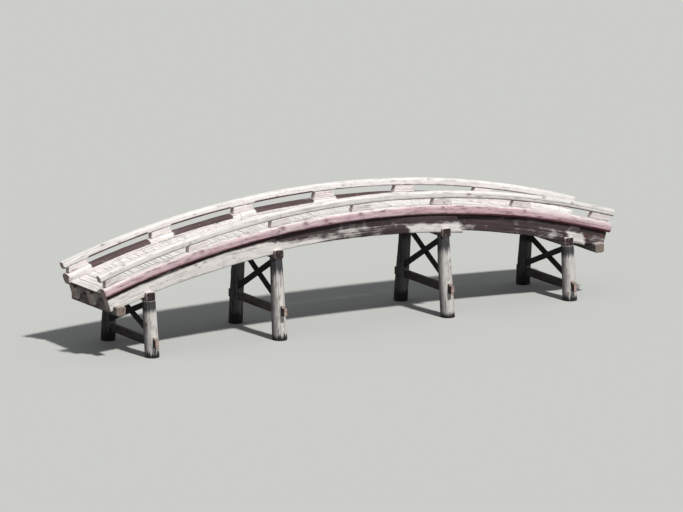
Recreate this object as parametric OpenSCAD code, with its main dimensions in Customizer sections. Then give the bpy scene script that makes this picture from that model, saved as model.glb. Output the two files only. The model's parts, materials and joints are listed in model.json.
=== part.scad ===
// Arched timber garden bridge on four log trestles.
// X runs along the bridge, Y across it, and Z rises from the feet of the posts.
// Everything above the trestles follows one circular arc about a centre far below the water.

/* [Arch] */
// Radius of the arc that the top of the deck follows
arch_r = 22700; // [21000:100:26000]
// Height of the deck at the crown, above the feet of the posts
crown_h = 2585; // [2450:5:2800]
// Length of the bridge on plan, along its deck, between the ends of the edge logs and rails
bridge_l = 13700; // [13600:50:13900]
// Length of the girders and the deck boards on plan
deck_l = 13600; // [13400:50:13600]

/* [Deck and girders] */
// Thickness of a deck board
deck_t = 50; // [40:1:65]
// Number of deck boards
board_count = 63; // [55:1:71]
// Gap between one deck board and the next
board_gap = 8; // [5:1:15]
// Distance of each end of the deck boards from the centre line
deck_half_w = 800; // [780:5:830]
// Depth of a girder at its thin end
girder_h = 380; // [320:5:400]
// Width of a girder
girder_w = 220; // [180:5:240]
// Distance of the outer girders from the centre line, halfway along a span
girder_y = 790; // [760:5:810]
// How far the girder joints on the right half of the bridge stand past their trestles
joint_past = 400; // [0:10:450]

/* [Edge logs and rails] */
// Distance of the edge logs, blocks and rails from the centre line
edge_y = 860; // [850:5:880]
// Width of an edge log
edge_w = 260; // [230:5:270]
// Height of an edge log above the deck
edge_h = 190; // [160:5:210]
// Height of the gap between an edge log and its rail
slot_h = 150; // [130:5:180]
// Width of a rail
rail_w = 175; // [140:5:190]
// Height of a rail
rail_h = 170; // [130:5:180]
// Distance on plan from one rail block to the next
block_pitch = 2170; // [2000:10:2180]
// Length of a rail block along its foot
block_l = 560; // [480:10:620]
// Width of a rail block
block_w = 150; // [120:5:160]

/* [Trestles] */
// Distance of the inner trestles from the crown
inner_x = 2270; // [2150:10:2400]
// Distance of the outer trestles from the crown
outer_x = 5680; // [5400:10:5750]
// Distance of a post's foot from the centre line
foot_y = 1030; // [1000:5:1060]
// Sideways lean of a post for each unit of its height
batter = 0.1; // [0.08:0.01:0.12]
// Diameter of a post at its foot
foot_d = 345; // [300:5:360]
// Diameter of a post at two metres above its foot
top_d = 285; // [240:5:300]
// Height of a cap beam
cap_h = 220; // [200:5:240]
// Width of a cap beam
cap_w = 240; // [220:5:260]
// Distance of each end of a cap beam from the centre line
cap_half_l = 990; // [940:10:1100]

/* [Ties and braces] */
// Height of a tie beam's centre on the inner trestles
inner_tie_z = 680; // [600:10:760]
// Height of a tie beam's centre on the outer trestles
outer_tie_z = 340; // [300:10:460]
// Depth of a tie beam
tie_h = 190; // [160:5:200]
// Thickness of a tie beam
tie_t = 90; // [70:5:100]
// Distance of each end of a tie beam from the centre line
tie_half_l = 1270; // [1240:10:1330]
// Depth of a brace
brace_h = 130; // [110:5:140]
// Thickness of a brace
brace_t = 60; // [50:5:70]

/* [Bank ends] */
// Distance of the bank sills from the crown
sill_x = 6500; // [6400:10:6530]
// Distance of each end of a bank sill from the centre line
sill_half_l = 1060; // [1000:10:1130]

/* [Hidden] */

$fn = 64;
// How far a log's rounding bites into the corners of its squared section
wane = 16;
// How deep a girder is let down over a cross log at its shallowest point
seat = 60;
// The outer girders are whole logs: their thick ends lie to the right and turn outward
girder_swell = 0.011;
girder_turn = 0.8;
// Length along the bridge of the slanting joint between two girders
scarf_l = 200;
// The ends of a wedge stand this far out of its post, head outside and tip inside
wedge_head_out = 60;
wedge_tip_out = 60;
wedge_head_t = 46;
wedge_tip_t = 20;
// How far a brace's end stops short of the centre line of its post
brace_stop = 70;
// Air between the two braces where they pass each other
brace_gap = 4;
// The lower end of a brace stands this share of the way from the tie up to the cap
brace_low_share = 0.1;
brace_under_cap = 65;
// How much shorter a rail block is at its top
block_taper = 90;
// How far a post's log runs past its level cuts before it is trimmed
ends_over = 200;
// Number of straight facets in the arcs of a girder's side, and in those of a rail block's
girder_steps = 24;
block_steps = 6;

arc_z = crown_h - arch_r;
girder_bottom_r = arch_r - deck_t - girder_h;
edge_top_r = arch_r + edge_h;
rail_foot_r = edge_top_r + slot_h;
log_taper = (foot_d - top_d) / 2000;
lean = atan(batter);
block_count = 7;

bent_x = [-outer_x, -inner_x, inner_x, outer_x];
tie_z = [outer_tie_z, inner_tie_z, inner_tie_z, outer_tie_z];
girder_ends = [-deck_l / 2, -outer_x, -inner_x, inner_x + joint_past, outer_x + joint_past, deck_l / 2];
deck_ends = [-deck_l / 2, -outer_x, -inner_x, inner_x, outer_x, deck_l / 2];
edge_ends = [-bridge_l / 2, -inner_x, inner_x, bridge_l / 2];
rail_ends = [-bridge_l / 2, -block_pitch, block_pitch, bridge_l / 2];

// Angle on the arc, from the horizontal, of a point of the deck at a distance along the bridge
function arc_angle(x) = 90 - asin(x / arch_r);
// Height of an arc of radius r at a distance along the bridge
function arc_height(r, x) = arc_z + sqrt(r * r - x * x);
// Top of a cross log that the girders are let down over
function seat_z(x) = arc_height(girder_bottom_r, x) + abs(x) / girder_bottom_r * cap_w / 2 + seat;
function cap_bottom(i) = seat_z(bent_x[i]) - cap_h;
// Angle on the arc of a joint between girders, at radius r, moved along the bridge by half the joint's slant
function joint_angle(k, r, way) =
    k == 0 || k == 5
        ? arc_angle(girder_ends[k])
        : 90 - asin((girder_ends[k] + way * scarf_l / 2) / r);
// Angle on the arc that the deck boards share out, and the board that starts nearest to a place
board_step = (arc_angle(-deck_l / 2) - arc_angle(deck_l / 2)) / board_count;
function board_at(x) = round((arc_angle(-deck_l / 2) - arc_angle(x)) / board_step);
function post_y(z) = foot_y - batter * z;
function post_d(z) = foot_d - log_taper * z;
function tie_top(i) = tie_z[i] + tie_h / 2;
function brace_high(i) = cap_bottom(i) - brace_under_cap;
function brace_low(i) = tie_top(i) + brace_low_share * (cap_bottom(i) - tie_top(i));

// Section of a squared log, with the round of the tree left along its corners
module squared_log(w, h) {
    intersection() {
        square([w, h], center = true);
        circle(r = norm([w, h]) / 2 - wane);
    }
}

// Sweeps a section, drawn as radius and distance across, along the arc between two places
module along_arc(x_from, x_to) {
    translate([0, 0, arc_z])
        rotate([90, 0, 0])
            rotate_extrude(start = arc_angle(x_to), angle = arc_angle(x_from) - arc_angle(x_to), $fn = 240)
                children();
}

// Points along an arc of radius r, measured from the centre of the arch
function arc_points(r, a_from, a_to, steps) = [
    for (k = [0 : steps])
        let (a = a_from + (a_to - a_from) * k / steps)
            [r * cos(a), r * sin(a)]
];

// Bar of constant width whose side is an outline drawn from the centre of the arch
module arch_outline(y, width, points) {
    translate([0, y, arc_z])
        rotate([90, 0, 0])
            linear_extrude(width, center = true)
                polygon(points);
}

// A squared log laid across the bridge, by its top
module cross_log(x, top_z, w, h, half_l) {
    translate([x, 0, top_z - h / 2])
        rotate([90, 0, 0])
            linear_extrude(2 * half_l, center = true)
                squared_log(w, h);
}

module cap_beam(i) {
    color("#a79f95")
        cross_log(bent_x[i], seat_z(bent_x[i]), cap_w, cap_h, cap_half_l);
}

module bank_sill(side) {
    color("#8d857b")
        cross_log(side * sill_x, seat_z(sill_x), cap_w, cap_h, sill_half_l);
}

// Tie beam that runs through both posts of a trestle
module tie_beam(i) {
    color("#4d4844")
        translate([bent_x[i], 0, tie_z[i]])
            cube([tie_t, 2 * tie_half_l, tie_h], center = true);
}

// Wedge that is driven into a post above its tie beam
module tie_wedge(i, side) {
    y = post_y(tie_top(i));
    r = post_d(tie_top(i)) / 2;
    head = y + r + wedge_head_out;
    tip = y - r - wedge_tip_out;
    translate([bent_x[i], 0, tie_top(i)])
        scale([1, side, 1])
            rotate([90, 0, 90])
                linear_extrude(tie_t, center = true)
                    polygon([[tip, 0], [head, 0], [head, wedge_head_t], [tip, wedge_tip_t]]);
}

module tie_wedges() {
    color("#b9aa94")
        for (i = [0 : 3], side = [-1, 1])
            tie_wedge(i, side);
}

// Brace from high on one post to low on the other, beside its twin
module brace(i, side) {
    high = [post_y(brace_high(i)) - brace_stop, brace_high(i)];
    low = [-post_y(brace_low(i)) + brace_stop, brace_low(i)];
    run = high - low;
    translate([bent_x[i] + side * (brace_t + brace_gap) / 2, side * (high.x + low.x) / 2, (high.y + low.y) / 2])
        rotate([side * atan2(run.y, run.x), 0, 0])
            cube([brace_t, norm(run), brace_h], center = true);
}

module braces(i) {
    color("#3f3a37")
        for (side = [-1, 1])
            brace(i, side);
}

// Leaning round log, cut level at its foot and under the cap beam, with its housings
module post(i, side) {
    top = cap_bottom(i);
    long = top / cos(lean) + 2 * ends_over;
    color("#6d665f")
        difference() {
            intersection() {
                translate([bent_x[i], side * foot_y, 0])
                    rotate([side * lean, 0, 0])
                        translate([0, 0, -ends_over])
                            cylinder(
                                h = long,
                                d1 = post_d(-ends_over),
                                d2 = post_d(long - ends_over),
                                $fn = 96
                            );
                translate([bent_x[i], side * foot_y, top / 2])
                    cube([2 * foot_d, 3 * foot_d, top], center = true);
            }
            tie_beam(i);
            tie_wedge(i, side);
            for (k = [-1, 1])
                brace(i, k);
        }
}

// Points along the foot of a girder, from its right end back to its left
function foot_points(a_from, a_to, swell) = [
    for (k = [0 : girder_steps])
        let (a = a_from + (a_to - a_from) * k / girder_steps)
            let (r = girder_bottom_r - swell * (1 - k / girder_steps))
                [r * cos(a), r * sin(a)]
];

// One girder: side is 0 for the middle one, which keeps its depth and lies straight
module girder(i, side) {
    x_from = girder_ends[i];
    x_to = girder_ends[i + 1];
    x_mid = (x_from + x_to) / 2;
    top_r = arch_r - deck_t;
    top = arc_points(
        top_r,
        joint_angle(i, top_r, -1),
        joint_angle(i + 1, top_r, -1),
        girder_steps
    );
    foot = foot_points(
        joint_angle(i + 1, girder_bottom_r, 1),
        joint_angle(i, girder_bottom_r, 1),
        abs(side) * girder_swell * (x_to - x_from)
    );
    translate([x_mid, side * girder_y, 0])
        rotate([0, 0, side * girder_turn])
            translate([-x_mid, 0, 0])
                arch_outline(0, girder_w, concat(top, foot));
}

// Girders of one span, let down over the cross logs that carry them
module girders(i) {
    color("#9a8f86")
        difference() {
            for (side = [-1, 0, 1])
                girder(i, side);
            if (i > 0)
                cap_beam(i - 1);
            if (i < 4)
                cap_beam(i);
            if (i == 0)
                bank_sill(-1);
            if (i == 4)
                bank_sill(1);
        }
}

// One deck board, counted from the left end of the bridge
module deck_board(k) {
    gap = board_gap / arch_r * 180 / PI;
    a_from = arc_angle(-deck_l / 2) - k * board_step - gap / 2;
    a_to = a_from - board_step + gap;
    arch_outline(
        0,
        2 * deck_half_w,
        concat(
            arc_points(arch_r - deck_t, a_from, a_to, 1),
            arc_points(arch_r, a_to, a_from, 1)
        )
    );
}

module deck(i) {
    color("#d9d4cb")
        for (k = [board_at(deck_ends[i]) : board_at(deck_ends[i + 1]) - 1])
            deck_board(k);
}

// Section of an edge log, with the rebate that covers the ends of the deck boards
module edge_section(side) {
    difference() {
        translate([arch_r - deck_t + (edge_h + deck_t) / 2, -side * edge_y])
            squared_log(edge_h + deck_t, edge_w);
        translate([arch_r - deck_t, -deck_half_w])
            square([deck_t, 2 * deck_half_w]);
    }
}

module edge_log(side, i) {
    color("#c9b9b4")
        along_arc(edge_ends[i], edge_ends[i + 1])
            edge_section(side);
}

module rail(side, i) {
    color("#cfc6be")
        along_arc(rail_ends[i], rail_ends[i + 1])
            translate([rail_foot_r + rail_h / 2, -side * edge_y])
                squared_log(rail_h, rail_w);
}

// Block between an edge log and its rail, with raked ends
module rail_block(side, x) {
    foot = block_l / 2 / edge_top_r * 180 / PI;
    top = (block_l - block_taper) / 2 / rail_foot_r * 180 / PI;
    a = arc_angle(x);
    arch_outline(
        side * edge_y,
        block_w,
        concat(
            arc_points(edge_top_r, a - foot, a + foot, block_steps),
            arc_points(rail_foot_r, a + top, a - top, block_steps)
        )
    );
}

module rail_blocks(side) {
    color("#d6cdc4")
        for (i = [0 : block_count - 1])
            rail_block(side, (i - (block_count - 1) / 2) * block_pitch);
}

post(0, -1);  // post_1_near
post(0, 1);  // post_1_far
post(1, -1);  // post_2_near
post(1, 1);  // post_2_far
post(2, -1);  // post_3_near
post(2, 1);  // post_3_far
post(3, -1);  // post_4_near
post(3, 1);  // post_4_far
cap_beam(0);  // cap_beam_1
cap_beam(1);  // cap_beam_2
cap_beam(2);  // cap_beam_3
cap_beam(3);  // cap_beam_4
tie_beam(0);  // tie_beam_1
tie_beam(1);  // tie_beam_2
tie_beam(2);  // tie_beam_3
tie_beam(3);  // tie_beam_4
tie_wedges();
braces(0);  // braces_1
braces(1);  // braces_2
braces(2);  // braces_3
braces(3);  // braces_4
girders(0);  // girders_1
girders(1);  // girders_2
girders(2);  // girders_3
girders(3);  // girders_4
girders(4);  // girders_5
deck(0);  // deck_1
deck(1);  // deck_2
deck(2);  // deck_3
deck(3);  // deck_4
deck(4);  // deck_5
edge_log(-1, 0);  // edge_log_near_1
edge_log(-1, 1);  // edge_log_near_2
edge_log(-1, 2);  // edge_log_near_3
edge_log(1, 0);  // edge_log_far_1
edge_log(1, 1);  // edge_log_far_2
edge_log(1, 2);  // edge_log_far_3
rail(-1, 0);  // rail_near_1
rail(-1, 1);  // rail_near_2
rail(-1, 2);  // rail_near_3
rail(1, 0);  // rail_far_1
rail(1, 1);  // rail_far_2
rail(1, 2);  // rail_far_3
rail_blocks(-1);  // rail_blocks_near
rail_blocks(1);  // rail_blocks_far
bank_sill(-1);  // bank_sill_left
bank_sill(1);  // bank_sill_right
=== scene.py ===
import json
import math

import bpy
import numpy as np
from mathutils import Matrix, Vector

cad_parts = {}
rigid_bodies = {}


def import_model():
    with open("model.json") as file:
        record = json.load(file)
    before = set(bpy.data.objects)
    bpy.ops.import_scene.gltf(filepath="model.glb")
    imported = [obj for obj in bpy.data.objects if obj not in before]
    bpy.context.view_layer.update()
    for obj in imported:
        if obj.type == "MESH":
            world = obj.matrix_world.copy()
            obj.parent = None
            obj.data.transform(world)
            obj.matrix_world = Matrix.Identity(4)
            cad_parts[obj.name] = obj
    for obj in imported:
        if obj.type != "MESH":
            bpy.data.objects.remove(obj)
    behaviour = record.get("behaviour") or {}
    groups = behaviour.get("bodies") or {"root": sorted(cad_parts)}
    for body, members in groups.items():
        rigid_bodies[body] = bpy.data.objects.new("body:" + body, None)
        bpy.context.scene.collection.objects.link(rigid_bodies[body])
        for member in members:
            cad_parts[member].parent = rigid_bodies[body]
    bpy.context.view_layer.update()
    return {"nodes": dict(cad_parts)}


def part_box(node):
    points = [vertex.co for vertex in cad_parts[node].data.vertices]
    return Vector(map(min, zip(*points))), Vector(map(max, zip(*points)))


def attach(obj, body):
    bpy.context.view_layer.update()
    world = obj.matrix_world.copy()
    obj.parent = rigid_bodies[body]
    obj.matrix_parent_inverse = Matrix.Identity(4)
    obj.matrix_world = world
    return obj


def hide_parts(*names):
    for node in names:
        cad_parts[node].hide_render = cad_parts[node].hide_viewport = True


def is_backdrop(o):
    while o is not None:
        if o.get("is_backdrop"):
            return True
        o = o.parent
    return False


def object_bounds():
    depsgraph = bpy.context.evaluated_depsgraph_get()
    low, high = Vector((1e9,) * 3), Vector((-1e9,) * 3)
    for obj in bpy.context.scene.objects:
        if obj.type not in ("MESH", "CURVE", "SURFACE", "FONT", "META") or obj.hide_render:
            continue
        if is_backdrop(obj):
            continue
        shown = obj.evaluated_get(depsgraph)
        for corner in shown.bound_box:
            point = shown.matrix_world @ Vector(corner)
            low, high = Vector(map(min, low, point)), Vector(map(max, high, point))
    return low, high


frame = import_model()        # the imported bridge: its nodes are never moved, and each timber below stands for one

print("frame loaded:", len(frame["nodes"]), "nodes")

# Everything above the trestles follows one arc. Its radii are measured from the arc's centre.
arch = {
    "deckRadius": 22.7,
    "boardThickness": 0.05,
    "edgeY": 0.86,          # edge logs, blocks and rails, from the centre line
    "edgeRise": 0.19,       # of the edge logs, above the deck
    "deckPlanHalf": 6.8,    # half the length on plan, of the boards and girders
    "railPlanHalf": 6.85,   # and of the edge logs and rails
    "innerX": 2.27,         # the trestles, from the crown
    "outerX": 5.68,
    "blockPitch": 2.17,
    "blockLength": 0.56,
    "blockShade": 0.05,     # beside a block the painted shade under the far rails is absent, and it comes in over this length
}
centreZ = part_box("edge_log_near_2")[1].z - arch["deckRadius"] - arch["edgeRise"]
boardFoot = arch["deckRadius"] - arch["boardThickness"]
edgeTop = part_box("edge_log_near_2")[1].z - centreZ
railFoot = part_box("rail_blocks_near")[1].z - centreZ
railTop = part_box("rail_near_2")[1].z - centreZ


def angleAt(x):
    return math.asin(x / arch["deckRadius"])


# 0 where a value is below 0, 1 where it is past the width, and even between them
def fade(value, width):
    return np.clip(value / width, 0, 1)


# Smooth noise between -1 and 1 at any points, the same on each run. Large numbers scatter its corners.
def smoothNoise(points, seed):
    cell = np.floor(points).astype(np.int64)
    part = points - cell
    part = part * part * (3 - 2 * part)
    total = np.zeros(points.shape[:-1])
    for corner in range(8):
        step = np.array([corner & 1, corner >> 1 & 1, corner >> 2 & 1])
        at = cell + step
        mixed = at[..., 0] * 73856093 ^ at[..., 1] * 19349663 ^ at[..., 2] * 83492791 ^ seed * 2654435
        mixed = (mixed ^ mixed >> 13) * 1274126177 & 0x7FFFFFFF
        mixed ^= mixed >> 15
        weight = np.prod(np.where(step == 1, part, 1 - part), axis=-1)
        total += weight * ((mixed & 0xFFFF) / 32767.5 - 1)
    return total


# Where along the outline of a rounded section a share t lies, and which way it faces there
def sectionAt(t, width, height, rounding):
    r = min(rounding, width / 2 - 1e-4, height / 2 - 1e-4)
    flatU, flatV = width / 2 - r, height / 2 - r
    arc = r * math.pi / 2
    corners = [(flatU, flatV), (-flatU, flatV), (-flatU, -flatV), (flatU, -flatV)]
    lengths = [2 * flatV, arc, 2 * flatU, arc] * 2
    walked = np.concatenate([[0], np.cumsum(lengths)])
    along = np.mod(t, 1) * walked[-1]
    leg = np.clip(np.searchsorted(walked, along, side="right") - 1, 0, 7)
    rest = along - walked[leg]
    turn = (leg // 2) * (math.pi / 2)
    onArc = leg % 2 == 1
    angle = turn + np.where(onArc, rest / r, 0)
    corner = np.array(corners)[leg // 2]
    normal = np.stack([np.cos(angle), np.sin(angle)], -1)
    before = np.array(corners)[(leg // 2 - 1) % 4]
    flatStart = before + r * normal
    flatDir = np.stack([-np.sin(angle), np.cos(angle)], -1)
    flat = flatStart + flatDir * rest[:, None]
    point = np.where(onArc[:, None], corner + r * normal, flat)
    return point, normal


# Shares of the outline where a ring of vertices has its points, with three close ones at each check
def ringShares(width, height, rounding, step, cracks, crackWidth):
    r = min(rounding, width / 2 - 1e-4, height / 2 - 1e-4)
    legs = [height - 2 * r, r * math.pi / 2, width - 2 * r, r * math.pi / 2] * 2
    total = sum(legs)
    shares, walked = [], 0.0
    for i, leg in enumerate(legs):
        parts = max(1 if i % 2 == 0 else 3, round(leg / step))
        shares += [(walked + leg * k / parts) / total for k in range(parts)]
        walked += leg
    gap = crackWidth / total
    shares = [s for s in shares if all(abs((s - c + 0.5) % 1 - 0.5) > 1.3 * gap for c in cracks)]
    for c in cracks:
        shares += [(c - gap) % 1, c % 1, (c + gap) % 1]
    return np.array(sorted(shares))


# How fine the wear of a timber is: turns of the noise for each metre along, across and up
noiseTurns = {"waver": [1.1, 4, 4], "facet": [8, 30, 30], "bow": 0.55, "endRough": 25, "crack": 7}
# Forms of knots and cracks, as shares or multiples of the sizes in a timber's wear
knotForm = {"sizes": (0.7, 1.25), "longer": 1.5, "dent": 0.45, "dentTighter": 6, "darkTighter": 2.2}
crackForm = {"reach": (-0.15, 1.15), "shortest": 0.35, "blunt": 0.6, "uneven": 0.25, "darkLip": 0.25}
pithStray = 0.22         # how far the rings' middle lies off the section's, at most, as a share of its size


# One timber, made straight along s with its section in u and v, worn, then put in its place
def timber(size, place, wear, seed):
    length, width, height = size
    rng = np.random.default_rng(seed)
    cracks = rng.permutation(wear["crackPlaces"])[: wear["cracks"]]
    shares = ringShares(width, height, wear["rounding"], wear["step"], cracks, wear["crackWidth"])
    outline, facing = sectionAt(shares, width, height, wear["rounding"])
    bevel = wear["endBevel"]
    inner = np.linspace(bevel, length - bevel, max(3, round(length / wear["spacing"])) + 1)
    stations = np.concatenate([[0], [bevel * 0.35], inner, [length - bevel * 0.35], [length]])
    rows, columns = len(stations), len(shares)
    s = np.repeat(stations[:, None], columns, 1)
    u = np.repeat(outline[None, :, 0], rows, 0)
    v = np.repeat(outline[None, :, 1], rows, 0)
    shift = np.array([seed * 3.7 % 61, seed * 1.9 % 17, seed * 2.3 % 13])
    rest = np.stack([s, u, v], -1)
    swell = wear["waver"] * smoothNoise(rest * noiseTurns["waver"] + shift, seed)
    swell += wear["facet"] * smoothNoise(rest * noiseTurns["facet"] + shift, seed + 1)
    knotMask = np.zeros_like(s)
    knots = [(rng.uniform(0.1, 0.9) * length, rng.uniform(0, 1)) for _ in range(wear["knots"])]
    for at, share in knots + wear.get("knotsAt", []):
        middle = sectionAt(np.array([share]), width, height, wear["rounding"])[0][0]
        reach = wear["knotSize"] * rng.uniform(*knotForm["sizes"])
        acrossKnot = ((u - middle[0]) ** 2 + (v - middle[1]) ** 2) / reach**2
        apart = ((s - at) / (reach * knotForm["longer"])) ** 2 + acrossKnot
        dent = knotForm["dent"] * np.exp(-apart * knotForm["dentTighter"])
        swell += wear["knotRise"] * (np.exp(-apart) - dent)
        knotMask = np.maximum(knotMask, np.exp(-apart * knotForm["darkTighter"]))
    crackMask = np.zeros_like(s)
    for c in cracks:
        column = int(np.argmin(np.abs((shares - c + 0.5) % 1 - 0.5)))
        start, end = sorted(rng.uniform(*crackForm["reach"], 2) * length)
        end = max(end, start + crackForm["shortest"] * length)
        gape = np.clip(np.sin(np.pi * fade(stations - start, end - start)), 0, 1) ** crackForm["blunt"]
        alongCrack = np.stack([stations * noiseTurns["crack"], stations * 0 + c * 9, stations * 0], -1)
        gape = gape * (1 - crackForm["uneven"] + crackForm["uneven"] * smoothNoise(alongCrack, seed))
        swell[:, column] -= wear["crackDepth"] * gape
        crackMask[:, column] = gape
        for lip in ((column - 1) % columns, (column + 1) % columns):
            crackMask[:, lip] = np.maximum(crackMask[:, lip], crackForm["darkLip"] * gape)
    u = u + facing[None, :, 0] * swell
    v = v + facing[None, :, 1] * swell
    bow = np.stack([stations * noiseTurns["bow"], stations * 0 + seed * 0.37, stations * 0], -1)
    u = u + (wear["bow"] * smoothNoise(bow, seed + 2))[:, None]
    v = v + (wear["bow"] * smoothNoise(bow + 5, seed + 3))[:, None]
    slim = 1 - bevel / (min(width, height) / 2)
    for row, share in ((0, 0.0), (1, 0.7), (rows - 2, 0.7), (rows - 1, 0.0)):
        k = slim + (1 - slim) * share
        u[row] *= k
        v[row] *= k
    points = [np.stack([s, u, v], -1).reshape(-1, 3)]
    ring = np.arange(columns)
    nextRing = np.roll(ring, -1)
    quads, triangles = [], []
    for a in range(0, (rows - 1) * columns, columns):
        quads.append(np.stack([a + ring, a + nextRing, a + columns + nextRing, a + columns + ring], -1))
    count = rows * columns
    for row, outward in ((0, -1), (rows - 1, 1)):
        outer = row * columns
        middleU, middleV = u[row].mean(), v[row].mean()
        for share in wear["endRings"]:
            ringU = middleU + (u[row] - middleU) * share
            ringV = middleV + (v[row] - middleV) * share
            turns = noiseTurns["endRough"]
            rough = np.stack([np.full(columns, row * 3.1), ringU * turns, ringV * turns], -1)
            ringS = s[row] + outward * wear["endRough"] * smoothNoise(rough + shift, seed + 4)
            points.append(np.stack([ringS, ringU, ringV], -1))
            face = np.stack([outer + ring, outer + nextRing, count + nextRing, count + ring], -1)
            quads.append(face if outward > 0 else face[:, ::-1])
            outer = count
            count += columns
        points.append(np.array([[s[row, 0], middleU, middleV]]))
        face = np.stack([outer + ring, outer + nextRing, np.full(columns, count)], -1)
        triangles.append(face if outward > 0 else face[:, ::-1])
        count += 1
    local = np.concatenate(points)
    onSides, onEnds = np.zeros(rows * columns), np.zeros(count - rows * columns)
    stainAndShadeValues = wear["stain"](local[:, 0] / length, local[:, 1] / width, local[:, 2] / height)
    pith = rng.uniform(-pithStray, pithStray, 2) * [width, height]
    return {
        "points": place(local[:, 0], local[:, 1], local[:, 2]),
        "quads": np.concatenate(quads),
        "triangles": np.concatenate(triangles),
        "grainPos": local + [rng.uniform(0, 30), pith[0], pith[1]],
        "endFace": np.concatenate([onSides, onEnds + 1]),
        "knotMask": np.concatenate([knotMask.ravel(), onEnds]),
        "crackMask": np.concatenate([crackMask.ravel(), onEnds]),
        "stainAndShadeMask": stainAndShadeValues + np.zeros(count),
        "pieceTone": np.full(count, rng.uniform(0, 1)),
    }


surfaceMasks = ("endFace", "knotMask", "crackMask", "stainAndShadeMask", "pieceTone")


def newObject(name, data):
    made = bpy.data.objects.new(name, data)
    bpy.context.scene.collection.objects.link(made)
    return made


# Joins timbers into one mesh object with the attributes that the finishes read
def meshPiece(name, parts, material, skip=()):
    points = np.concatenate([p["points"] for p in parts])
    starts = np.cumsum([0] + [len(p["points"]) for p in parts[:-1]])
    quads = np.concatenate([p["quads"] + n for p, n in zip(parts, starts)])
    triangles = np.concatenate([p["triangles"] + n for p, n in zip(parts, starts)])
    mesh = bpy.data.meshes.new(name)
    mesh.from_pydata(points.tolist(), [], quads.tolist() + triangles.tolist())
    mesh.polygons.foreach_set("use_smooth", np.ones(len(mesh.polygons), bool))
    for key in surfaceMasks:
        if key not in skip:
            values = np.concatenate([p[key] for p in parts])
            mesh.attributes.new(key, "FLOAT", "POINT").data.foreach_set("value", values.astype(np.float32))
    grain = np.concatenate([p["grainPos"] for p in parts]).astype(np.float32)
    mesh.attributes.new("grainPos", "FLOAT_VECTOR", "POINT").data.foreach_set("vector", grain.ravel())
    mesh.materials.append(material)
    mesh.update()
    return newObject(name, mesh)


def dress(piece, slot, *nodes):
    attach(piece, "root")
    if nodes:
        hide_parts(*nodes)
    return piece


def aroundArc(radius, angle, across):
    return np.stack([radius * np.sin(angle), across, centreZ + radius * np.cos(angle)], -1)


# One node's timber: its parts joined, finished and put in place of the solid
def dressNode(node, kind, parts, finish, slot):
    dress(meshPiece(f"{node}_{kind}", parts, finishes[finish]), slot, node)


# Ways to put a straight timber in its place: s runs along it, u across and v up through it
def onArch(radius, across, startAngle):
    def place(s, u, v):
        return aroundArc(radius + v, startAngle + s / radius, across + u)
    return place


def onLine(start, along, across):
    start, along, across = (np.array(a, float) for a in (start, along, across))
    up = np.cross(along, across)
    def place(s, u, v):
        return start + s[:, None] * along + u[:, None] * across + v[:, None] * up
    return place


# Small helpers for node trees. A node goes into the tree of the sockets that feed it, or into the one named.
def addNode(kind, sockets=None, tree=None, **settings):
    sockets = sockets or {}
    feeding = [value for value in sockets.values() if isinstance(value, bpy.types.NodeSocket)]
    tree = tree or feeding[0].id_data
    node = tree.nodes.new(kind)
    for key, value in settings.items():
        setattr(node, key, value)
    for key, value in sockets.items():
        if isinstance(value, bpy.types.NodeSocket):
            tree.links.new(value, node.inputs[key])
        else:
            node.inputs[key].default_value = value
    return node


def calc(operation, *values):
    return addNode("ShaderNodeMath", dict(enumerate(values)), operation=operation).outputs[0]


def plus(first, second):
    return calc("ADD", first, second)


def minus(first, second):
    return calc("SUBTRACT", first, second)


def times(first, second):
    return calc("MULTIPLY", first, second)


def vectorCalc(operation, first, second):
    node = addNode("ShaderNodeVectorMath", {0: first, 1: second}, operation=operation)
    return node.outputs["Value" if operation == "DOT_PRODUCT" else "Vector"]


def blendColours(share, first, second, mode="MIX"):
    sockets = {0: share, 6: first, 7: second}
    return addNode("ShaderNodeMix", sockets, data_type="RGBA", blend_type=mode).outputs[2]


def darkened(colour, tint):
    return blendColours(1.0, colour, (*tint, 1), "MULTIPLY")


def ease(value, low, high, atLow=0.0, atHigh=1.0):
    sockets = {"Value": value, "From Min": low, "From Max": high, "To Min": atLow, "To Max": atHigh}
    return addNode("ShaderNodeMapRange", sockets, interpolation_type="SMOOTHSTEP").outputs[0]


# A value that goes up and down with a noise
def raggedBy(value, noise, amount):
    return plus(value, times(minus(noise, 0.5), amount))


def stretchedNoise(position, stretch, detail=3.0, roughness=0.55):
    scaled = vectorCalc("MULTIPLY", position, stretch)
    sockets = {"Vector": scaled, "Scale": 1.0, "Detail": detail, "Roughness": roughness}
    return addNode("ShaderNodeTexNoise", sockets).outputs[0]


def addSocket(tree, name, kind, inOut="INPUT"):
    return tree.interface.new_socket(name=name, in_out=inOut, socket_type="NodeSocket" + kind)


def clearedTree(owner):
    owner.use_nodes = True
    owner.node_tree.nodes.clear()
    return owner.node_tree
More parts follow.
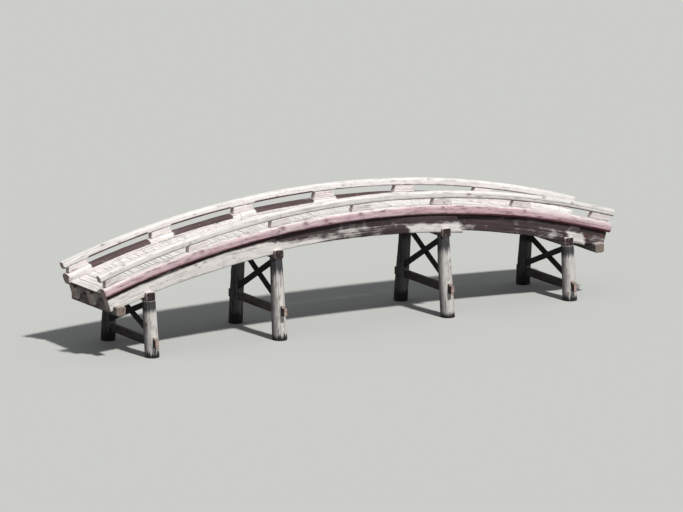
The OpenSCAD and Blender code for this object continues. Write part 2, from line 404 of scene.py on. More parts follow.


# The weathering that every timber shares: paler where it faces its exposed side and darker where it faces away,
# which is bleaching together with painted light and painted shade; grained along its length
def weatheredTimberGroup():
    tree = bpy.data.node_groups.new("weatheredTimber", "ShaderNodeTree")
    numbers = {
        "bleachFrom": 0.1, "bleachFull": 0.8, "patches": 0.5, "grain": 0.5, "rings": 260.0,
        "checks": 0.6, "dampHeight": 0.0, "stain": 0.3, "washed": 0.0,
    }
    for name in ("bleached", "side", "underside", "endGrain", "knot", "damp"):
        addSocket(tree, name, "Color")
    for name, value in numbers.items():
        addSocket(tree, name, "Float").default_value = value
    addSocket(tree, "exposedSide", "Vector").default_value = (0.30, -0.25, 0.92)
    for name, kind in (("Colour", "Color"), ("Roughness", "Float"), ("Height", "Float")):
        addSocket(tree, name, kind, "OUTPUT")
    given = tree.nodes.new("NodeGroupInput").outputs

    grainPos = addNode("ShaderNodeAttribute", tree=tree, attribute_name="grainPos").outputs["Vector"]
    masks = [addNode("ShaderNodeAttribute", tree=tree, attribute_name=key) for key in surfaceMasks]
    endFace, knot, crack, stainAndShadeMask, tone = [mask.outputs["Fac"] for mask in masks]
    sockets = {0: (31.0, 17.0, 23.0), "Scale": tone}
    offset = addNode("ShaderNodeVectorMath", sockets, operation="SCALE").outputs[0]
    place = vectorCalc("ADD", grainPos, offset)

    streak = stretchedNoise(place, (0.7, 24.0, 24.0), 4.0, 0.65)
    fibre = stretchedNoise(place, (5.0, 170.0, 170.0), 3.0, 0.6)
    patch = stretchedNoise(place, (1.3, 5.0, 5.0), 4.0, 0.6)
    blotch = stretchedNoise(place, (4.0, 13.0, 13.0), 3.0, 0.6)
    split = stretchedNoise(place, (0.5, 21.0, 21.0), 1.5, 0.5)
    spot = addNode("ShaderNodeTexCoord", tree=tree).outputs["Object"]
    washed = stretchedNoise(spot, (2.4, 4.0, 4.5), 6.0, 0.66)

    # growth rings: distance from the pith, bent by the streaks
    axes = addNode("ShaderNodeSeparateXYZ", {0: grainPos}).outputs
    squares = [calc("POWER", axis, 2.0) for axis in (axes[1], axes[2])]
    rings = times(calc("SQRT", plus(*squares)), given["rings"])
    bent = plus(rings, times(patch, 9.0))
    ring = ease(calc("SINE", bent), -1.0, 1.0)

    # fine drying checks: thin lines where a long noise crosses its middle
    offMiddle = calc("ABSOLUTE", minus(split, 0.5))
    line = ease(offMiddle, 0.002, 0.02, 1.0, 0.0)
    gate = ease(blotch, 0.46, 0.62)
    check = times(times(line, gate), given["checks"])

    # how far the surface faces towards its exposed side or away from it; the paler and darker colours that follow
    # it are bleaching together with painted light and painted shade
    normal = addNode("ShaderNodeNewGeometry", tree=tree).outputs["Normal"]
    facing = vectorCalc("DOT_PRODUCT", normal, given["exposedSide"])
    ragged = raggedBy(facing, patch, 0.9)
    upward = ease(ragged, given["bleachFrom"], given["bleachFull"])
    downward = ease(ragged, -0.05, -0.75)

    # colour, from the side outward
    colour = blendColours(downward, given["side"], given["underside"])
    colour = blendColours(upward, colour, given["bleached"])
    darker = darkened(colour, (0.62, 0.57, 0.56))
    mottled = times(ease(blotch, 0.48, 0.66), given["patches"])
    colour = blendColours(mottled, colour, darker)
    grainShare = times(ease(streak, 0.42, 0.66), given["grain"])
    colour = blendColours(grainShare, colour, darkened(colour, (0.50, 0.45, 0.44)))
    fineGrain = times(given["grain"], 0.6)
    fibreShare = times(ease(fibre, 0.45, 0.7), fineGrain)
    colour = blendColours(fibreShare, colour, darkened(colour, (0.62, 0.59, 0.57)))
    pale = times(ease(tone, 0.0, 1.0, 0.0, 0.22), ease(patch, 0.35, 0.6))
    colour = blendColours(pale, colour, given["bleached"])
    # the stain-and-shade mask carries real stain and painted shade alike: paler below 0, dark above it
    colour = blendColours(ease(stainAndShadeMask, 0.0, -1.0), colour, given["bleached"])
    stainAndShadeShare = times(ease(patch, 0.56, 0.72), given["stain"])
    raggedStainAndShade = raggedBy(stainAndShadeMask, streak, 1.1)
    washedShare = times(minus(washed, 0.5), given["washed"])
    washedShare = times(washedShare, ease(stainAndShadeMask, 0.0, 0.3))
    raggedStainAndShade = plus(raggedStainAndShade, washedShare)
    stainAndShadeShare = calc("MAXIMUM", stainAndShadeShare, ease(raggedStainAndShade, 0.15, 0.8, 0.0, 0.97))
    colour = blendColours(stainAndShadeShare, colour, given["underside"])
    stainAndShadeGrain = times(stainAndShadeShare, ease(streak, 0.44, 0.6, 0.0, 0.55))
    colour = blendColours(stainAndShadeGrain, colour, darkened(colour, (0.45, 0.40, 0.40)))
    stainAndShadeWear = times(stainAndShadeShare, ease(washed, 0.46, 0.34, 0.0, 0.16))
    colour = blendColours(stainAndShadeWear, colour, given["side"])
    ringDark = darkened(given["endGrain"], (0.62, 0.55, 0.5))
    ringTone = blendColours(ring, given["endGrain"], ringDark)
    colour = blendColours(endFace, colour, blendColours(mottled, ringTone, darker))
    knotTone = blendColours(ring, given["knot"], darkened(given["knot"], (0.5, 0.42, 0.4)))
    colour = blendColours(times(knot, 0.85), colour, knotTone)
    opening = calc("MAXIMUM", crack, check)
    colour = blendColours(times(opening, 0.9), colour, (0.022, 0.018, 0.017, 1))

    # wet foot: dark up to the damp height, with a ragged edge
    heightNow = addNode("ShaderNodeSeparateXYZ", {0: spot}).outputs[2]
    dampEdge = raggedBy(heightNow, streak, 0.5)
    damp = ease(minus(dampEdge, given["dampHeight"]), -0.05, 0.05, 1.0, 0.0)
    colour = blendColours(damp, colour, given["damp"])

    # relief and gloss
    relief = times(streak, 0.5)
    relief = plus(relief, times(fibre, 0.35))
    relief = plus(relief, times(ring, 0.12))
    relief = minus(relief, times(opening, 1.4))
    rough = plus(0.74, times(blotch, 0.2))
    rough = minus(rough, times(damp, 0.35))
    addNode("NodeGroupOutput", {"Colour": colour, "Roughness": rough, "Height": relief})
    return tree


timberGroup = weatheredTimberGroup()
knotBrown = (0.20, 0.085, 0.075)
dampBrown = (0.026, 0.024, 0.028)
sunnySide = (0.35, -0.84, 0.42)       # posts are paler on the side that faces the sun and darker away from it: bleaching together with painted light and painted shade
timberSurface = {
    "bumpStrength": 0.75,
    "bumpDepth": 0.0035,
    "specular": 0.25,
}


# The colours are those of bleached parts, the side, the underside and the end grain. The numbers say how
# strong patches, grain, checks and stain are, and more inputs of the group may follow by name.
def timberFinish(name, bleached, side, underside, endGrain, patches, grain, checks, stain, **others):
    values = dict(bleached=bleached, side=side, underside=underside, endGrain=endGrain, knot=knotBrown,
                  damp=dampBrown, patches=patches, grain=grain, checks=checks, stain=stain)
    values.update(others)
    material = bpy.data.materials.new(name)
    tree = clearedTree(material)
    group = addNode("ShaderNodeGroup", tree=tree, node_tree=timberGroup)
    for key, value in values.items():
        isColour = group.inputs[key].type == "RGBA"
        group.inputs[key].default_value = (*value, 1.0) if isColour else value
    bump = addNode("ShaderNodeBump", {
        "Strength": timberSurface["bumpStrength"],
        "Distance": timberSurface["bumpDepth"],
        "Height": group.outputs["Height"],
    })
    shader = addNode("ShaderNodeBsdfPrincipled", {
        "Base Color": group.outputs["Colour"],
        "Roughness": group.outputs["Roughness"],
        "Normal": bump.outputs[0],
        "Specular IOR Level": timberSurface["specular"],
    })
    addNode("ShaderNodeOutputMaterial", {"Surface": shader.outputs[0]})
    return material


finishes = {
    "rails": timberFinish(
        "bleachedRail", (0.95, 0.93, 0.92), (0.88, 0.83, 0.83), (0.155, 0.095, 0.10), (0.66, 0.57, 0.53),
        0.28, 0.26, 0.6, 0.12, bleachFrom=-0.3, bleachFull=0.4,
    ),
    # the blocks' end grain is pale: painted light on end faces that sit in shade
    "blocks": timberFinish(
        "bleachedBlock", (0.94, 0.92, 0.91), (0.90, 0.83, 0.83), (0.22, 0.13, 0.12), (0.86, 0.78, 0.77),
        0.3, 0.3, 0.6, 0.15,
    ),
    "nearEdges": timberFinish(
        "rosyEdgeLog", (0.94, 0.92, 0.92), (0.75, 0.525, 0.585), (0.20, 0.072, 0.094), (0.55, 0.46, 0.42),
        0.6, 0.55, 0.9, 0.5, bleachFrom=0.38, bleachFull=0.88, exposedSide=(0.1, 0.0, 0.99),
    ),
    "farEdges": timberFinish(
        "bleachedEdgeLog", (0.94, 0.92, 0.92), (0.84, 0.79, 0.79), (0.11, 0.068, 0.073), (0.55, 0.46, 0.42),
        0.35, 0.32, 0.8, 0.2, bleachFrom=-0.1, bleachFull=0.5,
    ),
    "boards": timberFinish(
        "bleachedBoard", (0.94, 0.93, 0.92), (0.42, 0.37, 0.35), (0.16, 0.115, 0.10), (0.55, 0.48, 0.44),
        0.26, 0.30, 0.5, 0.12, rings=200.0,
    ),
    # the girders' exposed side is set towards the sun, so their sunny faces are painted paler: bleaching together
    # with painted light
    "girders": timberFinish(
        "girderTimber", (0.94, 0.92, 0.90), (0.90, 0.86, 0.85), (0.060, 0.037, 0.042), (0.60, 0.52, 0.48),
        0.35, 0.34, 0.7, 0.25, washed=1.5, exposedSide=(0.35, -0.75, 0.55),
    ),
    "caps": timberFinish(
        "capTimber", (0.84, 0.81, 0.79), (0.30, 0.26, 0.25), (0.07, 0.052, 0.052), (0.050, 0.034, 0.038),
        0.5, 0.5, 0.8, 0.3,
    ),
    "nearPosts": timberFinish(
        "palePostLog", (0.76, 0.745, 0.73), (0.34, 0.335, 0.34), (0.060, 0.062, 0.070), (0.5, 0.46, 0.42),
        0.65, 0.5, 0.9, 0.55, knot=(0.10, 0.075, 0.07), dampHeight=0.12,
        bleachFrom=-0.05, bleachFull=0.6, exposedSide=sunnySide,
    ),
    # the far posts are a dark copy of the near posts' finish: painted shade under the deck
    "farPosts": timberFinish(
        "darkPostLog", (0.22, 0.215, 0.22), (0.115, 0.112, 0.12), (0.042, 0.041, 0.048), (0.3, 0.27, 0.25),
        0.6, 0.6, 0.9, 0.6, knot=(0.05, 0.04, 0.038), dampHeight=0.26, exposedSide=sunnySide,
    ),
    # the ties are painted dark, apart from their end grain: painted shade under the deck
    "ties": timberFinish(
        "tieTimber", (0.30, 0.27, 0.26), (0.095, 0.082, 0.088), (0.040, 0.033, 0.036), (0.66, 0.50, 0.47),
        0.6, 0.6, 0.8, 0.5, knot=(0.08, 0.06, 0.055),
    ),
    # the braces are painted nearly black: painted shade under the deck
    "braces": timberFinish(
        "braceTimber", (0.095, 0.085, 0.09), (0.045, 0.04, 0.045), (0.026, 0.022, 0.026), (0.3, 0.26, 0.24),
        0.5, 0.6, 0.8, 0.5, knot=(0.05, 0.04, 0.036),
    ),
    "wedges": timberFinish(
        "wedgeTimber", (0.66, 0.58, 0.53), (0.50, 0.40, 0.36), (0.2, 0.15, 0.13), (0.6, 0.5, 0.42),
        0.5, 0.4, 0.4, 0.3,
    ),
    "sills": timberFinish(
        "sillTimber", (0.56, 0.53, 0.50), (0.28, 0.245, 0.23), (0.09, 0.072, 0.066), (0.34, 0.29, 0.26),
        0.6, 0.5, 0.8, 0.5,
    ),
}
print("finishes made:", len(finishes))

crackSpots = [0.06, 0.19, 0.31, 0.43, 0.56, 0.69, 0.81, 0.94]        # shares of a section's outline


# How worn a timber is, in metres, apart from the changes that its own piece makes
def wearOf(**changes):
    wear = {
        "rounding": 0.02, "step": 0.02, "spacing": 0.06, "endBevel": 0.006,
        "endRings": (0.965, 0.7, 0.36), "endRough": 0.0015,
        "waver": 0.003, "facet": 0.0012, "bow": 0.003,
        "knots": 2, "knotSize": 0.03, "knotRise": 0.004,
        "cracks": 2, "crackPlaces": crackSpots, "crackWidth": 0.004, "crackDepth": 0.008,
        # at shares of length, width and height, dark above 0 and paler below it; pieces give both stains and
        # painted shade here
        "stain": lambda s, u, v: 0.0,
    }
    wear.update(changes)
    return wear


# Posts: round logs that lean outward to their feet
postLogs = {
    "footDiameter": 0.345,
    "taper": 0.03,           # lost for each metre of height
    "footY": 1.03,
    "batter": 0.1,
    "intoCap": 0.012,        # the log's top runs this far up into the cap beam, past its round edge
    "darkFrom": 0.74,        # under its cap beam a post is painted dark, from this share of its height: painted shade
    "darkFade": 0.16,
    "darkest": 0.9,
    "wear": wearOf(rounding=1.0, step=0.017, spacing=0.03, waver=0.008, facet=0.0025, bow=0.012,
                   knots=5, knotSize=0.045, knotRise=0.010, cracks=4, crackWidth=0.0045, crackDepth=0.018),
    "seed": 100,
}


def postY(z):
    return postLogs["footY"] - postLogs["batter"] * z


def postDiameter(z):
    return postLogs["footDiameter"] - postLogs["taper"] * z


def leaningLog(x, side):
    def place(s, u, v):
        k = postDiameter(s) / postLogs["footDiameter"]
        return np.stack([x + u * k, side * postY(s) + v * k, s], -1)
    return place


# painted shade: each post darkens towards its top, under its cap beam
def postCapShade(s, u, v):
    return fade(s - postLogs["darkFrom"], postLogs["darkFade"]) * postLogs["darkest"]


bentX = [-arch["outerX"], -arch["innerX"], arch["innerX"], arch["outerX"]]
sides = {"near": -1, "far": 1}
for i, x in enumerate(bentX):
    for sideName, side in sides.items():
        node = f"post_{i + 1}_{sideName}"
        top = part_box(node)[1].z + postLogs["intoCap"]
        d = postLogs["footDiameter"]
        wear = dict(postLogs["wear"], stain=postCapShade)
        part = timber((top, d, d), leaningLog(x, side), wear, postLogs["seed"] + 2 * i + (side > 0))
        dressNode(node, "log", [part], "nearPosts" if side < 0 else "farPosts", "post_logs")
print("posts made")

# Cap beams and bank sills: squared logs across the bridge
capBeams = {
    "wear": wearOf(rounding=0.045, step=0.018, spacing=0.05, waver=0.005, facet=0.002, knots=3,
                   knotSize=0.035, knotRise=0.005, cracks=3, crackDepth=0.014, endBevel=0.01),
    "seed": 120,
}
bankSills = {
    "wear": capBeams["wear"],
    "seed": 130,
}


# A timber from side to side of the bridge that fills its node's box
def crossTimber(node, kind, slot, finish, timbers, i):
    low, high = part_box(node)
    size = (high.y - low.y, high.x - low.x, high.z - low.z)
    place = onLine(((low.x + high.x) / 2, low.y, (low.z + high.z) / 2), (0, 1, 0), (-1, 0, 0))
    part = timber(size, place, timbers["wear"], timbers["seed"] + i)
    dressNode(node, kind, [part], finish, slot)
    return low, high


for i in range(4):
    crossTimber(f"cap_beam_{i + 1}", "log", "cap_timber", "caps", capBeams, i)
for i, end in enumerate(("left", "right")):
    crossTimber(f"bank_sill_{end}", "log", "sill_timber", "sills", bankSills, i)
print("cap beams and bank sills made")

# Tie beams through both posts of a trestle, with their wedges, and the braces above them
tieBeams = {
    "wear": wearOf(rounding=0.010, step=0.022, spacing=0.05),
    "seed": 140,
}
wedges = {
    "headOut": 0.06,         # how far the ends stand out of the post
    "tipOut": 0.06,
    "head": 0.046,
    "tip": 0.020,
    "narrower": 0.006,       # than the tie beam
    "wear": wearOf(rounding=0.005, step=0.015, spacing=0.03, waver=0.001, cracks=0, knots=0, bow=0.0,
                   endBevel=0.004),
    "seed": 150,
}
braces = {
    "thickness": 0.06,
    "height": 0.13,
    "gap": 0.004,            # between the two
    "stop": 0.07,            # short of the middle of the post
    "underCap": 0.065,
    "lowShare": 0.1,         # of the way from the tie beam to the cap beam
    "wear": wearOf(rounding=0.008, spacing=0.05, cracks=1, crackDepth=0.006, knots=1),
    "seed": 160,
}


def wedgePlace(x, side, start, foot, length):
    def place(s, u, v):
        thick = wedges["tip"] + (wedges["head"] - wedges["tip"]) * s / length
        return np.stack([x - side * u, side * (start + s), foot + (v / wedges["head"] + 0.5) * thick], -1)
    return place


wedgeParts = []
for i, x in enumerate(bentX):
    low, high = crossTimber(f"tie_beam_{i + 1}", "timber", "tie_timber", "ties", tieBeams, i)
    tieTop = high.z
    middleY, radius = postY(tieTop), postDiameter(tieTop) / 2
    start = middleY - radius - wedges["tipOut"]
    length = 2 * radius + wedges["tipOut"] + wedges["headOut"]
    size = (length, high.x - low.x - wedges["narrower"], wedges["head"])
    for side in (-1, 1):
        place = wedgePlace(x, side, start, tieTop, length)
        wedgeParts.append(timber(size, place, wedges["wear"], wedges["seed"] + 2 * i + (side > 0)))
    # crossed braces, one on each side of the trestle's middle
    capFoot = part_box(f"cap_beam_{i + 1}")[0].z
    zHigh = capFoot - braces["underCap"]
    zLow = tieTop + braces["lowShare"] * (capFoot - tieTop)
    yHigh = postY(zHigh) - braces["stop"]
    yLow = -postY(zLow) + braces["stop"]
    bars = []
    for side in (-1, 1):
        barX = x + side * (braces["thickness"] + braces["gap"]) / 2
        foot, head = Vector((barX, side * yLow, zLow)), Vector((barX, side * yHigh, zHigh))
        bar = (head - foot).length
        place = onLine(foot, (head - foot) / bar, (1, 0, 0))
        size = (bar, braces["thickness"], braces["height"])
        bars.append(timber(size, place, braces["wear"], braces["seed"] + 2 * i + (side > 0)))
    dressNode(f"braces_{i + 1}", "timber", bars, "braces", "brace_timber")
dressNode("tie_wedges", "timber", wedgeParts, "wedges", "wedge_timber")
print("ties, wedges and braces made")

# Girders: three side by side in each span. The outer ones get deeper and turn outward to the right.
girderLogs = {
    "width": 0.22,
    "height": 0.38,
    "acrossAtMiddle": 0.79,
    "turn": math.radians(0.8),
    "swell": 0.011,          # added to the depth for each metre of length
    "jointPast": 0.40,       # the joints right of the crown stand this far past their trestles
    "scarf": 0.20,
    "wear": wearOf(rounding=0.034, step=0.026, waver=0.006, facet=0.002, bow=0.0, knots=6, knotSize=0.04,
                   knotRise=0.006, cracks=3, crackDepth=0.012, crackWidth=0.005),
    "seed": 200,
}
girderJoints = [
    -arch["deckPlanHalf"], -arch["outerX"], -arch["innerX"],
    arch["innerX"] + girderLogs["jointPast"], arch["outerX"] + girderLogs["jointPast"], arch["deckPlanHalf"],
]
# How dark the outer girders are painted, and how far down from the deck the painted shade of the edge logs reaches,
# at places on plan: both are painted shade
girderShading = {
    "shareAt": [(-6.8, 0.2), (-5.0, 0.0), (-1.9, 0.0), (-1.35, 0.0), (-1.05, 0.55), (-0.4, 0.58),
                (0.5, 0.66), (0.85, 0.8), (1.15, 0.7), (1.3, 0.05), (2.55, 0.0), (2.7, 0.6), (2.8, 0.92),
                (4.0, 0.88), (4.4, 0.74), (5.2, 0.68), (5.6, 0.85), (5.72, 0.1), (6.08, 0.1), (6.16, 0.8),
                (6.8, 0.6)],
    "depthAt": [(-6.8, 0.06), (-3.7, 0.05), (-2.5, 0.06), (-1.9, 0.18), (-0.2, 0.15), (1.4, 0.16),
                (2.6, 0.13), (6.8, 0.12)],
    "elsewhere": 0.6,        # share of it on the middle and far girders
    "bandEnd": 1.7,          # the painted shade under the deck is gone at this many depths, and full one before it
}


def alongPlan(x, pairs):
    return np.interp(x, [p[0] for p in pairs], [p[1] for p in pairs])


def jointAngle(k, down):
    x, radius = girderJoints[k], arch["deckRadius"]
    if 0 < k < 5:
        x = x + (down - 0.5) * girderLogs["scarf"]
        radius = boardFoot - down * girderLogs["height"]
    return np.arcsin(x / radius)


def girderPlace(i, side):
    first, last = girderJoints[i], girderJoints[i + 1]
    height, swell = girderLogs["height"], girderLogs["swell"] * abs(side) * (last - first)
    length = angleAt(last) * boardFoot - angleAt(first) * boardFoot
    def place(s, u, v):
        t, down = s / length, 0.5 - v / height
        fromAngle = jointAngle(i, down)
        angle = fromAngle + (jointAngle(i + 1, down) - fromAngle) * t
        across = girderLogs["acrossAtMiddle"] + (t - 0.5) * (last - first) * math.sin(girderLogs["turn"])
        return aroundArc(boardFoot - down * (height + swell * t), angle, side * across + u)
    return place, length


# painted shade on the girders: a dark band under the deck's edge and darker stretches of the outer girders
def girderPaintedShade(i, side):
    first, last = girderJoints[i], girderJoints[i + 1]
    strength = 1.0 if side < 0 else girderShading["elsewhere"]
    def stain(s, u, v):
        x = first + (last - first) * s
        below = (0.5 - v) * girderLogs["height"] / alongPlan(x, girderShading["depthAt"])
        return np.clip(np.maximum(alongPlan(x, girderShading["shareAt"]) * strength, girderShading["bandEnd"] - below), 0, 1)
    return stain


for i in range(5):
    parts = []
    for side in (-1, 0, 1):
        place, length = girderPlace(i, side)
        wear = dict(girderLogs["wear"], stain=girderPaintedShade(i, side))
        size = (length, girderLogs["width"], girderLogs["height"])
        parts.append(timber(size, place, wear, girderLogs["seed"] + 3 * i + side))
    dressNode(f"girders_{i + 1}", "timber", parts, "girders", "girder_timber")
print("girders made")

# Edge logs: thick rounded timbers along both sides of the deck. How dark and pale they are is given at places on
# plan, for the far logs as painted shade.
edgeLogs = {
    "width": 0.26,
    "wear": wearOf(rounding=0.078, step=0.015, spacing=0.045, waver=0.007, facet=0.0025, knots=4,
                   knotSize=0.055, knotRise=0.008, cracks=4, crackWidth=0.0055, crackDepth=0.016,
                   endBevel=0.012),
    "seed": 240,
    "bigKnotsAt": (-4.30, -2.16, -0.08, 2.16, 4.40),
    "bigKnotShare": 0.47,
    # far logs: painted shade under the rail, above this height from their middle, as a share, and inward of the
    # shoulder
    "railShadeFrom": [(-6.8, 0.10), (0.0, 0.14), (1.6, 0.40), (6.8, 0.42)],
    "railShadeFade": 0.08,
    "shoulder": 0.48,
    "shoulderFade": 0.1,
    # near logs: darker below this share of their height, and paler this much above it
    "darkFoot": [(-6.8, 0.34), (0.0, 0.30), (2.5, 0.30), (4.6, 0.42), (6.8, 0.46)],
    "darkFade": 0.35,
    "palerSide": [(-6.8, 0.28), (-1.6, 0.28), (-0.2, 0.12), (0.4, 0.0), (3.9, 0.0), (4.7, 0.36),
                  (6.8, 0.36)],
    "palerFade": 0.1,
}
edgeMid = (edgeTop + boardFoot) / 2
edgeEnds = [-arch["railPlanHalf"], -arch["innerX"], arch["innerX"], arch["railPlanHalf"]]


# The big knots that show on the outside of the near logs, as lengths along one log and shares of its outline
def knotPlaces(start, end):
    angles = [angleAt(x) for x in edgeLogs["bigKnotsAt"]]
    return [((a - start) * edgeMid, edgeLogs["bigKnotShare"]) for a in angles if start < a < end]


# How far a place on plan is from the blocks, as a share between 0 beside one and 1 between two
def awayFromBlocks(x):
    apart = np.abs((x / arch["blockPitch"] + 0.5) % 1 - 0.5) * arch["blockPitch"]
    return fade(apart - arch["blockLength"] / 2, arch["blockShade"])


# Under their rail the far logs are painted dark red on the top and the inner shoulder, most to the left: painted
# shade.
# The near logs are darker along the foot of their outside, most to the right, and paler above it in places.
def edgeDarkening(i, side):
    def stain(s, u, v):
        x = edgeEnds[i] + (edgeEnds[i + 1] - edgeEnds[i]) * s
        if side < 0:
            above = v + 0.5 - alongPlan(x, edgeLogs["darkFoot"])
            pale = alongPlan(x, edgeLogs["palerSide"]) * fade(above, edgeLogs["palerFade"])
            return fade(-above, edgeLogs["darkFade"]) - pale
        # painted shade of the rail on the far log's top and inner shoulder
        top = fade(v - alongPlan(x, edgeLogs["railShadeFrom"]), edgeLogs["railShadeFade"])
        return top * fade(edgeLogs["shoulder"] - u, edgeLogs["shoulderFade"]) * awayFromBlocks(x)
    return stain


# One timber of an edge or a rail, between two places on plan
def archTimber(timbers, ends, i, side, foot, top, **wear):
    start, end = angleAt(ends[i]), angleAt(ends[i + 1])
    middle = (top + foot) / 2
    size = ((end - start) * middle, timbers["width"], top - foot)
    place = onArch(middle, side * arch["edgeY"], start)
    return timber(size, place, dict(timbers["wear"], **wear), timbers["seed"] + 3 * (side > 0) + i)


for sideName, side in sides.items():
    for i in range(3):
        knots = knotPlaces(angleAt(edgeEnds[i]), angleAt(edgeEnds[i + 1])) if side < 0 else []
        stain = edgeDarkening(i, side)
        part = archTimber(edgeLogs, edgeEnds, i, side, boardFoot, edgeTop, knotsAt=knots, stain=stain)
        finish = "nearEdges" if side < 0 else "farEdges"
        dressNode(f"edge_log_{sideName}_{i + 1}", "timber", [part], finish, "edge_timber")
print("edge logs made")

# Rails, and the blocks that hold them up
railTimbers = {
    "width": 0.175,
    "wear": wearOf(rounding=0.052, step=0.014, spacing=0.045, waver=0.004, facet=0.0018, knots=4,
                   knotSize=0.035, knotRise=0.005, cracks=3, crackWidth=0.0045, crackDepth=0.012,
                   endBevel=0.010),
    "seed": 260,
    # far rails: painted shade below this share of their height, at places on plan, inward of the shoulder
    "darkFoot": [(-6.8, 0.38), (0.0, 0.34), (1.5, 0.0), (6.8, 0.0)],
    "shoulder": 0.3,
    "darkFade": 0.1,
}
railBlocks = {
    "width": 0.15,
    "taper": 0.09,           # shorter at the top
    "wear": wearOf(rounding=0.014, step=0.016, spacing=0.03, facet=0.0015, bow=0.0, knots=1, endBevel=0.008),
    "seed": 280,
}
railEnds = [-arch["railPlanHalf"], -arch["blockPitch"], arch["blockPitch"], arch["railPlanHalf"]]


# The far rails are painted dark red along the foot of their inner side, as far as the crown: painted shade over the
# slots below them
def railPaintedShade(i, side):
    def stain(s, u, v):
        if side < 0:
            return 0.0 * s
        x = railEnds[i] + (railEnds[i + 1] - railEnds[i]) * s
        foot = fade(alongPlan(x, railTimbers["darkFoot"]) - 0.5 - v, railTimbers["darkFade"])
        return foot * fade(railTimbers["shoulder"] - u, railTimbers["darkFade"]) * awayFromBlocks(x)
    return stain


def blockPlace(x, across, length, height):
    middle = angleAt(x)
    def place(s, u, v):
        up = v / height + 0.5
        along = (s - length / 2) * (1 - railBlocks["taper"] / length * up)
        return aroundArc(edgeTop + up * height, middle + along / edgeTop, across + u)
    return place


for sideName, side in sides.items():
    for i in range(3):
        part = archTimber(railTimbers, railEnds, i, side, railFoot, railTop, stain=railPaintedShade(i, side))
        dressNode(f"rail_{sideName}_{i + 1}", "timber", [part], "rails", "rail_timber")
    blocks = []
    size = (arch["blockLength"], railBlocks["width"], railFoot - edgeTop)
    for k in range(7):
        place = blockPlace((k - 3) * arch["blockPitch"], side * arch["edgeY"], size[0], size[2])
        blocks.append(timber(size, place, railBlocks["wear"], railBlocks["seed"] + 7 * (side > 0) + k))
    dressNode(f"rail_blocks_{sideName}", "timber", blocks, "blocks", "block_timber")
print("rails and blocks made")


# A tree for what repeats along the deck: its inputs, and those that only this one has
def rowTree(name, ownInputs):
    tree = bpy.data.node_groups.new(name, "GeometryNodeTree")
    addSocket(tree, "Geometry", "Geometry", "OUTPUT")
    shared = {"Boards": "Int", "Radius": "Float", "First Angle": "Float", "Last Angle": "Float",
              "Centre Height": "Float", "Seed": "Int", "Finish": "Material"}
    for label, kind in {**shared, **ownInputs}.items():
        addSocket(tree, label, kind)
    return tree, tree.nodes.new("NodeGroupInput").outputs


def grown(name, tree, values, slot, nodes=()):
    holder = newObject(name + "Maker", bpy.data.meshes.new(name + "Maker"))
    modifier = holder.modifiers.new("grow", "NODES")
    modifier.node_group = tree
    for item in tree.interface.items_tree:
        if item.in_out == "INPUT" and item.name in values:
            modifier[item.identifier] = values[item.name]
    holder.update_tag()
    bpy.context.view_layer.update()
    evaluated = holder.evaluated_get(bpy.context.evaluated_depsgraph_get())
    mesh = bpy.data.meshes.new_from_object(evaluated)
    bpy.data.objects.remove(holder)
    return dress(newObject(name, mesh), slot, *nodes)


# Angle on the arc of the board that has this number
def boardAngle(number, given):
    run = minus(given["Last Angle"], given["First Angle"])
    share = calc("DIVIDE", plus(number, 0.5), given["Boards"])
    return plus(given["First Angle"], times(share, run))


def onArcPoint(angle, radius, across, given):
    x = times(radius, calc("SINE", angle))
    rise = times(radius, calc("COSINE", angle))
    z = plus(given["Centre Height"], rise)
    return addNode("ShaderNodeCombineXYZ", {0: x, 1: across, 2: z}).outputs[0]


def randomValue(low, high, seed, salt):
    sockets = {2: low, 3: high, "Seed": plus(seed, salt)}
    return addNode("FunctionNodeRandomValue", sockets, data_type="FLOAT").outputs[1]


# One instance on each point of a row
def rowOf(count, spot, turn, instance):
    line = addNode("GeometryNodeMeshLine", {"Count": count})
    placed = addNode("GeometryNodeSetPosition", {"Geometry": line.outputs[0], "Position": spot})
    sockets = {"Points": placed.outputs[0], "Rotation": turn, **instance}
    return addNode("GeometryNodeInstanceOnPoints", sockets).outputs[0]


def endTree(tree, given, instances):
    real = addNode("GeometryNodeRealizeInstances", {"Geometry": instances})
    sockets = {"Geometry": real.outputs[0], "Material": given["Finish"]}
    done = addNode("GeometryNodeSetMaterial", sockets)
    addNode("NodeGroupOutput", {"Geometry": done.outputs[0]})
    return tree


# Deck boards
deckBoards = {
    "count": 63,
    "gap": 0.008,
    "halfLength": 0.80,
    "shorterBy": 0.003,      # steps between the kinds of plank
    "kinds": 6,
    "slip": 0.004,           # how far a board has moved along itself, at most
    "sink": 0.35,            # the same downward, as a share of slip
    "skew": 0.0035,
    "rock": 0.006,
    "wear": wearOf(rounding=0.006, step=0.026, spacing=0.05, waver=0.0022, facet=0.001, bow=0.002,
                   knotSize=0.022, knotRise=0.002, crackPlaces=[0.17, 0.24, 0.31, 0.38, 0.45],
                   crackWidth=0.003, crackDepth=0.006, endBevel=0.005),
    "plankSeed": 300,
    "rowSeed": 11,
}


